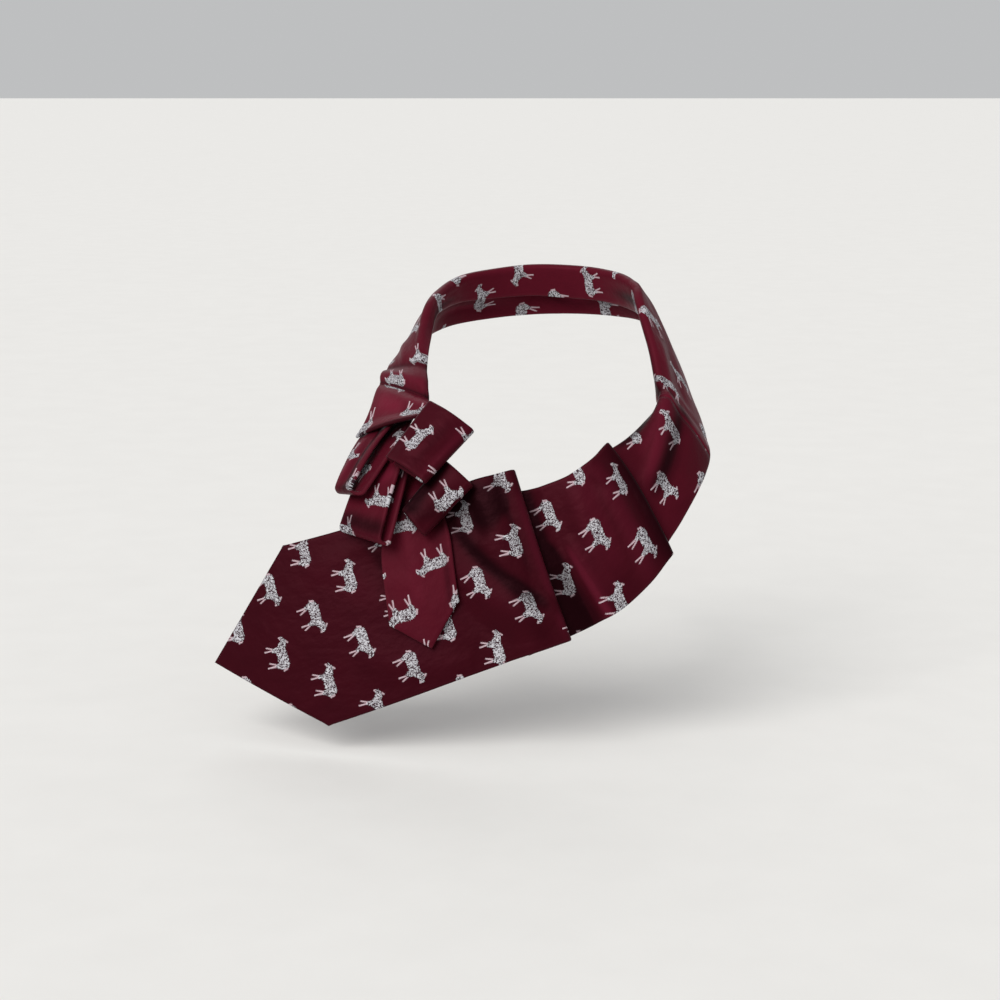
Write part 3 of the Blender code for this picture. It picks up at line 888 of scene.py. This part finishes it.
Limb = namedtuple("Limb", "part x y to_x to_y radius to_radius")
SHEEP = (                        # millimetres forward and up, from the middle of the body
    Limb("wool", -4.8, 0.4, 3.6, 0.5, 3.4, 3.1),
    Limb("wool", -5.8, -1.2, -5.3, -4.2, 2.5, 1.1),
    Limb("wool", 3.8, -1.4, 4.6, -4.4, 2.2, 1.1),
    Limb("wool", 4.8, 1.2, 7.6, 3.0, 2.6, 2.0),
    Limb("wool", 8.2, 3.4, 10.2, 2.6, 1.8, 1.2),
    Limb("pale", -5.4, -4.2, -5.2, -10.2, 0.58, 0.45),
    Limb("pale", -4.6, -4.2, -2.6, -8.6, 0.50, 0.40),
    Limb("pale", 4.6, -4.2, 4.9, -9.8, 0.58, 0.45),
    Limb("pale", 5.2, -4.2, 7.2, -8.2, 0.50, 0.40),
    Limb("pale", 8.2, 5.0, 7.2, 6.0, 0.55, 0.45),
    Limb("pale", 10.2, 2.0, 11.0, 1.4, 0.8, 0.6),
    Limb("pale", -8.4, 1.4, -9.0, -0.8, 0.55, 0.5),
)
CENTRE = (1.0, -2.2)             # the middle of the whole sheep, from the middle of its body
SHEEP_SIZE = 0.9                 # to the limbs above
THREAD = 0.45


def limb_distance(tree, place, limb):
    """How far a place lies from a limb, which tapers from one end to the other."""
    run = Vector((limb.to_x - limb.x, limb.to_y - limb.y, 0))
    away = tree.vector("SUBTRACT", place, (limb.x, limb.y, 0))
    share = tree.vector("DOT_PRODUCT", away, tuple(run / run.length_squared))
    share = tree.math("ADD", share, 0.0, clamp=True)
    nearest = tree.vector("SCALE", tuple(run), scale=share)
    distance = tree.vector("DISTANCE", away, nearest)
    radius = tree.math("MULTIPLY_ADD", share, limb.to_radius - limb.radius, limb.radius)
    return tree.math("SUBTRACT", distance, radius)


def make_sheep_group():
    """Distances in millimetres to the pale limbs and to the woolly parts of the nearest sheep."""
    group = bpy.data.node_groups.new("woven_sheep", "ShaderNodeTree")
    for name in ("Pale", "Wool"):
        group.interface.new_socket(name, in_out="OUTPUT", socket_type="NodeSocketFloat")
    tree = Tree(group)
    lattice_place = tree.split(tree.attribute("sheep_place"))
    first = tree.math("ADD", lattice_place[0], 0.5)
    second = tree.math("ADD", lattice_place[1], 0.5)
    first_part = tree.math("SUBTRACT", tree.math("FRACT", first), 0.5)
    second_part = tree.math("SUBTRACT", tree.math("FRACT", second), 0.5)
    # A half is left over in every other column, so facing is 1 or -1 in turn.
    half = tree.math("FRACT", tree.math("MULTIPLY", tree.math("FLOOR", second), 0.5))
    facing = tree.math("MULTIPLY_ADD", half, -4.0, 1.0)
    up = tree.math("ADD", tree.math("MULTIPLY", first_part, ROW[0]),
                   tree.math("MULTIPLY", second_part, COLUMN[0]))
    forward = tree.math("ADD", tree.math("MULTIPLY", first_part, ROW[1]),
                        tree.math("MULTIPLY", second_part, COLUMN[1]))
    forward = tree.math("MULTIPLY", forward, facing)
    place = tree.vector("SCALE", tree.join(forward, up), scale=1 / SHEEP_SIZE)
    place = tree.vector("ADD", place, (CENTRE[0], CENTRE[1], 0))
    woven = tree.vector("SNAP", place, (THREAD, THREAD, THREAD))
    nearest = {"pale": None, "wool": None}
    for limb in SHEEP:
        distance = limb_distance(tree, woven, limb)
        so_far = nearest[limb.part]
        nearest[limb.part] = distance if so_far is None else tree.math("MINIMUM", so_far, distance)
    output = group.nodes.new("NodeGroupOutput")
    tree.links.new(nearest["pale"], output.inputs["Pale"])
    tree.links.new(nearest["wool"], output.inputs["Wool"])
    return group


# Colours of the threads; the lit ground colour is a painted highlight, and the trough colour a painted
# shade in creases and shaded places.
GROUND = (0.105, 0.0068, 0.0170, 1)
DEEP_GROUND = (0.066, 0.0052, 0.0118, 1)
LIT_GROUND = (0.21, 0.017, 0.042, 1)
TROUGH_SHADE = (0.0045, 0.0007, 0.0013, 1)
PALER_EDGE = (0.17, 0.030, 0.045, 1)
WHITE = ((0.30, 0.29, 0.32, 1), (0.70, 0.71, 0.74, 1))
PINK_WHITE = ((0.26, 0.15, 0.18, 1), (0.66, 0.54, 0.58, 1))
BETWEEN_CURLS = (0.030, 0.012, 0.018, 1)

# The woven sheep: its soft edges and curls, in millimetres; a scale is a noise's, by the millimetre.
RAGGED = 0.8                     # how far the edge of the wool wanders
RAGGED_SCALE = 1.1
WOOL_EDGE = 0.12
LEG_EDGE = 0.15
CURL_SCALE = 0.62
CURL_RADIANS = 26.0              # of the sine that makes bands of the noise
CURL_RANGE = (-0.45, 0.30)
THREAD_SCALE = 0.9

# The satin, with the share that each effect has.
PATCH_SCALE = 0.05
SLUB_STRETCH = (2.4, 0.12, 1.0)
SLUB_SHARE = 0.35
RIDGE_RANGE = (0.3, 2.4)         # heights of a crease given a painted highlight
RIDGE_SHARE = 0.5
TROUGH_RANGE = (-0.3, -2.6)      # depths of a crease given a painted shade
TROUGH_SHARE = 0.7
LIGHT_SHARE = 0.8                # of the painted highlight on ridges and light shades
DARK_SHARE = 0.93                # of the painted shade in troughs and dark shades
# The painted shade is laid more lightly over the sheep.
DARK_SHARE_ON_SHEEP = 0.58
PALER_EDGE_WIDTH = 1.4                 # along the edges, in millimetres
PALER_EDGE_SHARE = 0.12
ROUGHNESS = 0.34
SHEEP_ROUGHNESS = 0.14           # this and the next are added to it
PATCH_ROUGHNESS = 0.06

# Heights for the bump, in millimetres.
TWILL = (12.0, 7.0)              # radians of the diagonal in a millimetre along and across
TWILL_HEIGHT = 0.012
FINE_SCALE = 2.2
FINE_HEIGHT = 0.05
RIPPLE_SCALE = 0.13
RIPPLE_HEIGHT = 1.1
SHEEP_HEIGHT = 0.06
CURL_HEIGHT = 0.10
BUMP_STRENGTH = 0.42


def share_of(tree, amount, share):
    return tree.math("MULTIPLY", amount, share)


def sheep_threads(tree, group, cloth):
    """Where the wool, its curls and the pale limbs are, from 0 to 1, and both colours."""
    ragged = tree.math("MULTIPLY_ADD", tree.noise(cloth, RAGGED_SCALE, 1.0), 2 * RAGGED, -RAGGED)
    wool = tree.ramp(tree.math("ADD", group.outputs["Wool"], ragged), WOOL_EDGE, -WOOL_EDGE)
    pale = tree.ramp(group.outputs["Pale"], LEG_EDGE, -LEG_EDGE)
    curls = tree.math("MULTIPLY", tree.noise(cloth, CURL_SCALE, 1.5, 0.6), CURL_RADIANS)
    curls = tree.ramp(tree.math("SINE", curls), *CURL_RANGE)
    threads = tree.noise(cloth, THREAD_SCALE, 2.0, 0.6)
    wool_colour = tree.colour(curls, BETWEEN_CURLS, tree.colour(threads, *WHITE))
    return wool, curls, pale, wool_colour, tree.colour(threads, *PINK_WHITE)


def satin_colour(tree, cloth, patches, edge, crease, shade, sheen_and_shade_tone):
    """Burgundy in patches and slubs, with a painted highlight on ridges and light shades, paler along the
    edges, all scaled by the stretch's painted sheen and shade tone.
    """
    colour = tree.colour(patches, DEEP_GROUND, GROUND)
    slub = tree.noise(tree.vector("MULTIPLY", cloth, SLUB_STRETCH), 1.0, 2.0)
    colour = tree.colour(share_of(tree, slub, SLUB_SHARE), colour, DEEP_GROUND)
    # Painted highlight: ridges and light shades turn the colour towards the lit ground colour.
    ridge_highlight = share_of(tree, tree.ramp(crease, *RIDGE_RANGE), RIDGE_SHARE)
    light = tree.math("MAXIMUM", ridge_highlight, tree.ramp(shade, 0.0, 1.0))
    colour = tree.colour(share_of(tree, light, LIGHT_SHARE), colour, LIT_GROUND)
    # Paler towards the cloth's edges.
    paler_edge = share_of(tree, tree.ramp(edge, PALER_EDGE_WIDTH, 0.0), PALER_EDGE_SHARE)
    return tree.vector("SCALE", tree.colour(paler_edge, colour, PALER_EDGE), scale=sheen_and_shade_tone)


def silk_height(tree, cloth, along, across, motif, woolly):
    """The twill, fine unevenness, slow ripples and the thickness of the woven sheep."""
    diagonal = tree.math("ADD", tree.math("MULTIPLY", along, TWILL[0]),
                         tree.math("MULTIPLY", across, TWILL[1]))
    fine = share_of(tree, tree.noise(cloth, FINE_SCALE, 2.0), FINE_HEIGHT)
    height = tree.math("MULTIPLY_ADD", tree.math("SINE", diagonal), TWILL_HEIGHT, fine)
    ripples = share_of(tree, tree.noise(cloth, RIPPLE_SCALE, 2.0), RIPPLE_HEIGHT)
    height = tree.math("ADD", height, ripples)
    height = tree.math("ADD", height, share_of(tree, motif, SHEEP_HEIGHT))
    return tree.math("ADD", height, share_of(tree, woolly, CURL_HEIGHT))


def make_silk(sheep):
    """Burgundy satin with woven sheep."""
    material = bpy.data.materials.new("burgundy_silk")
    material.use_nodes = True
    tree = Tree(material.node_tree)
    shader = material.node_tree.nodes["Principled BSDF"]
    group = material.node_tree.nodes.new("ShaderNodeGroup")
    group.node_tree = sheep
    cloth = tree.attribute("cloth_place")
    along, across, edge = tree.split(cloth)
    crease, shade, sheen_and_shade_tone = tree.split(tree.attribute("folds_and_painted_light"))
    wool, curls, pale, wool_colour, pale_colour = sheep_threads(tree, group, cloth)
    motif = tree.math("MAXIMUM", wool, pale)
    patches = tree.noise(cloth, PATCH_SCALE, 3.0, 0.6)

    base = satin_colour(tree, cloth, patches, edge, crease, shade, sheen_and_shade_tone)
    base = tree.colour(pale, base, pale_colour)
    base = tree.colour(wool, base, wool_colour)
    # Painted shade: troughs and dark shades turn the colour towards the near-black trough colour, more
    # lightly over the sheep.
    trough_shade = share_of(tree, tree.ramp(crease, *TROUGH_RANGE), TROUGH_SHARE)
    dark = tree.math("MAXIMUM", trough_shade, tree.ramp(shade, 0.0, -1.0))
    dark_share = tree.math("MULTIPLY_ADD", motif, DARK_SHARE_ON_SHEEP - DARK_SHARE, DARK_SHARE)
    base = tree.colour(tree.math("MULTIPLY", dark, dark_share), base, TROUGH_SHADE)
    tree.feed(shader.inputs["Base Color"], base)

    rough = tree.math("MULTIPLY_ADD", motif, SHEEP_ROUGHNESS, ROUGHNESS)
    rough = tree.math("ADD", rough, share_of(tree, patches, PATCH_ROUGHNESS))
    tree.feed(shader.inputs["Roughness"], rough)
    shader.inputs["Metallic"].default_value = 0.0
    shader.inputs["IOR"].default_value = 1.52
    shader.inputs["Specular IOR Level"].default_value = 0.075
    shader.inputs["Specular Tint"].default_value = (1.0, 0.26, 0.36, 1.0)
    shader.inputs["Sheen Weight"].default_value = 0.012
    shader.inputs["Sheen Roughness"].default_value = 0.4
    shader.inputs["Sheen Tint"].default_value = (0.9, 0.3, 0.4, 1.0)

    bump = tree.nodes.new("ShaderNodeBump")
    bump.inputs["Distance"].default_value = MM
    bump.inputs["Strength"].default_value = BUMP_STRENGTH
    woolly = tree.math("MULTIPLY", wool, curls)
    tree.feed(bump.inputs["Height"], silk_height(tree, cloth, along, across, motif, woolly))
    tree.links.new(bump.outputs[0], shader.inputs["Normal"])
    return material


# ---- the stage

def make_stage():
    """A plain pale floor and a plain pale world."""
    floor_mesh = bpy.data.meshes.new("floor")
    corners = [(-1, -1), (1, -1), (1, 1), (-1, 1)]
    floor_mesh.from_pydata([(x * FLOOR_REACH, y * FLOOR_REACH, FLOOR_Z) for x, y in corners], [],
                           [(0, 1, 2, 3)])
    floor = bpy.data.objects.new("floor", floor_mesh)
    bpy.context.scene.collection.objects.link(floor)
    pale = bpy.data.materials.new("pale_floor")
    pale.use_nodes = True
    tree = Tree(pale.node_tree)
    shader = pale.node_tree.nodes["Principled BSDF"]
    geometry = pale.node_tree.nodes.new("ShaderNodeNewGeometry")
    grain = tree.noise(geometry.outputs["Position"], FLOOR_GRAIN, 3.0)
    tree.feed(shader.inputs["Base Color"], tree.colour(grain, *FLOOR_COLOURS))
    shader.inputs["Roughness"].default_value = 0.9
    floor_mesh.materials.append(pale)

    world = bpy.data.worlds.new("studio")
    world.use_nodes = True
    background = world.node_tree.nodes["Background"]
    background.inputs["Color"].default_value = WORLD_COLOUR
    background.inputs["Strength"].default_value = WORLD_STRENGTH
    bpy.context.scene.world = world


def add_sun(sun):
    """A broad soft light that shines in one direction."""
    lamp = bpy.data.lights.new(sun.name, "SUN")
    lamp.energy = sun.strength
    lamp.angle = math.radians(sun.angle)
    lamp.color = sun.colour
    item = bpy.data.objects.new(sun.name, lamp)
    item.rotation_euler = Vector(sun.direction).to_track_quat("-Z", "Y").to_euler()
    bpy.context.scene.collection.objects.link(item)


def make_camera():
    lens = bpy.data.cameras.new("camera")
    lens.sensor_width = SENSOR_WIDTH
    lens.lens = FOCAL_LENGTH
    camera = bpy.data.objects.new("camera", lens)
    forward = Vector((0, math.cos(DOWN), -math.sin(DOWN)))
    camera.location = AIM - forward * DISTANCE
    camera.rotation_euler = (math.radians(90) - DOWN, 0, 0)
    bpy.context.scene.collection.objects.link(camera)
    bpy.context.scene.camera = camera


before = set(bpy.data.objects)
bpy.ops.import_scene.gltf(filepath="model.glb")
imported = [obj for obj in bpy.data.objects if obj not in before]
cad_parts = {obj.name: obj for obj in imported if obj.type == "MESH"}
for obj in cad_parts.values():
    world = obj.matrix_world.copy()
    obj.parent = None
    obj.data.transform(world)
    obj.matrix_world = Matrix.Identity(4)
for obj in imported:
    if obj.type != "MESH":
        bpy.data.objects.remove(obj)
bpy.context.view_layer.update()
bpy.context.scene.view_settings.view_transform = "Standard"
make_camera()
make_stage()
for sun in SUNS:
    add_sun(sun)
silk = make_silk(make_sheep_group())
for piece in make_pieces():
    piece.data.materials.append(silk)
